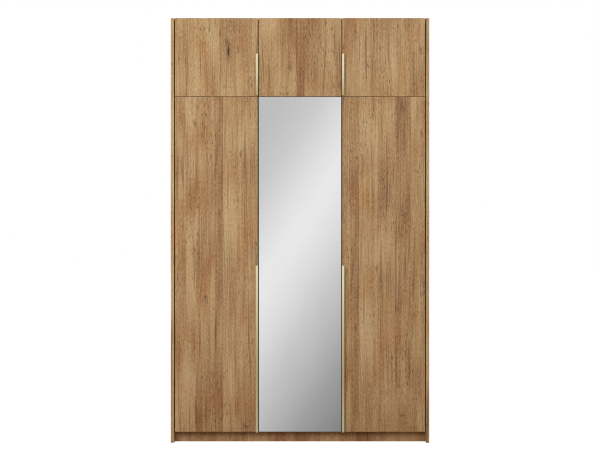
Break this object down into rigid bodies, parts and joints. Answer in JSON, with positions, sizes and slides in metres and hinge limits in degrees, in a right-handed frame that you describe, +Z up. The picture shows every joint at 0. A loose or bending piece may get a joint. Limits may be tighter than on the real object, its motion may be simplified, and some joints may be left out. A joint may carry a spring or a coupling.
{
  "type": "hinged door wardrobe",
  "caption": "Tall oak-look wardrobe with hinged doors, a full-height mirror door, edge-strip handles and a separate box on top.",
  "frame": {"origin": "middle of the bounding box's footprint, on the floor", "axes": "+X to the right of someone facing the doors, +Y towards the back, +Z up"},
  "size_m": [1.4, 0.6, 2.3],
  "materials": {
    "oak_board": "oak-look laminate, matt, edges banded",
    "back_sheet": "thin hardboard, smooth side in, brown outside",
    "mirror": "silvered float glass with a polished arris",
    "handle_brass": "satin light brass anodised profile",
    "hinge_nickel": "nickel-plated steel",
    "rail_chrome": "bright chrome",
    "latch_plastic": "grey moulded plastic"
  },
  "bodies": {
    "carcass": {"main_side_left": "oak_board", "main_side_right": "oak_board", "main_bottom": "oak_board", "main_top": "oak_board", "main_partition": "oak_board", "plinth_front": "oak_board", "plinth_rear": "oak_board", "main_back_left": "back_sheet", "main_back_right": "back_sheet", "top_box_side_left": "oak_board", "top_box_side_right": "oak_board", "top_box_bottom": "oak_board", "top_box_lid": "oak_board", "top_box_partition": "oak_board", "top_box_back": "back_sheet", "hat_shelf": "oak_board", "linen_shelf_1": "oak_board", "linen_shelf_2": "oak_board", "linen_shelf_3": "oak_board", "linen_shelf_4": "oak_board", "hanging_rail": "rail_chrome", "rail_socket_left": "rail_chrome", "rail_socket_right": "rail_chrome", "main_latch_housing": "latch_plastic", "top_latch_housing": "latch_plastic", "left_hinge_arm_1": "hinge_nickel", "left_hinge_arm_2": "hinge_nickel", "left_hinge_arm_3": "hinge_nickel", "left_hinge_arm_4": "hinge_nickel", "middle_hinge_arm_1": "hinge_nickel", "middle_hinge_arm_2": "hinge_nickel", "middle_hinge_arm_3": "hinge_nickel", "middle_hinge_arm_4": "hinge_nickel", "right_hinge_arm_1": "hinge_nickel", "right_hinge_arm_2": "hinge_nickel", "right_hinge_arm_3": "hinge_nickel", "right_hinge_arm_4": "hinge_nickel", "top_left_hinge_arm_1": "hinge_nickel", "top_left_hinge_arm_2": "hinge_nickel", "top_middle_hinge_arm_1": "hinge_nickel", "top_middle_hinge_arm_2": "hinge_nickel", "top_right_hinge_arm_1": "hinge_nickel", "top_right_hinge_arm_2": "hinge_nickel"},
    "left_door": {"left_door": "oak_board", "left_handle": "handle_brass"},
    "middle_door": {"middle_door": "oak_board", "mirror_glass": "mirror"},
    "right_door": {"right_door": "oak_board", "right_handle": "handle_brass"},
    "top_left_door": {"top_left_door": "oak_board", "top_left_handle": "handle_brass"},
    "top_middle_door": {"top_middle_door": "oak_board"},
    "top_right_door": {"top_right_door": "oak_board", "top_right_handle": "handle_brass"},
    "main_latch_plunger": {"main_latch_plunger": "latch_plastic"},
    "top_latch_plunger": {"top_latch_plunger": "latch_plastic"}
  },
  "joints": [
    {"name": "left_door_hinge", "type": "hinge", "parent": "carcass", "child": "left_door", "pos_m": [-0.671, -0.277, 0.06], "axis": [0, 0, -1], "range_deg": [0, 105]},
    {"name": "middle_door_hinge", "type": "hinge", "parent": "carcass", "child": "middle_door", "pos_m": [0.218, -0.277, 0.06], "axis": [0, 0, 1], "range_deg": [0, 95]},
    {"name": "right_door_hinge", "type": "hinge", "parent": "carcass", "child": "right_door", "pos_m": [0.671, -0.277, 0.06], "axis": [0, 0, 1], "range_deg": [0, 105]},
    {"name": "top_left_door_hinge", "type": "hinge", "parent": "carcass", "child": "top_left_door", "pos_m": [-0.671, -0.277, 1.876], "axis": [0, 0, -1], "range_deg": [0, 105]},
    {"name": "top_middle_door_hinge", "type": "hinge", "parent": "carcass", "child": "top_middle_door", "pos_m": [0.218, -0.277, 1.876], "axis": [0, 0, 1], "range_deg": [0, 95]},
    {"name": "top_right_door_hinge", "type": "hinge", "parent": "carcass", "child": "top_right_door", "pos_m": [0.671, -0.277, 1.876], "axis": [0, 0, 1], "range_deg": [0, 105]},
    {"name": "main_latch_slide", "type": "slide", "parent": "carcass", "child": "main_latch_plunger", "axis": [0, -1, 0], "range_m": [0, 0.02]},
    {"name": "top_latch_slide", "type": "slide", "parent": "carcass", "child": "top_latch_plunger", "axis": [0, -1, 0], "range_m": [0, 0.02]}
  ],
  "couplings": [
    {"joint": "main_latch_slide", "follows": "middle_door_hinge", "m_per_rad": 0.012},
    {"joint": "top_latch_slide", "follows": "top_middle_door_hinge", "m_per_rad": 0.012}
  ]
}
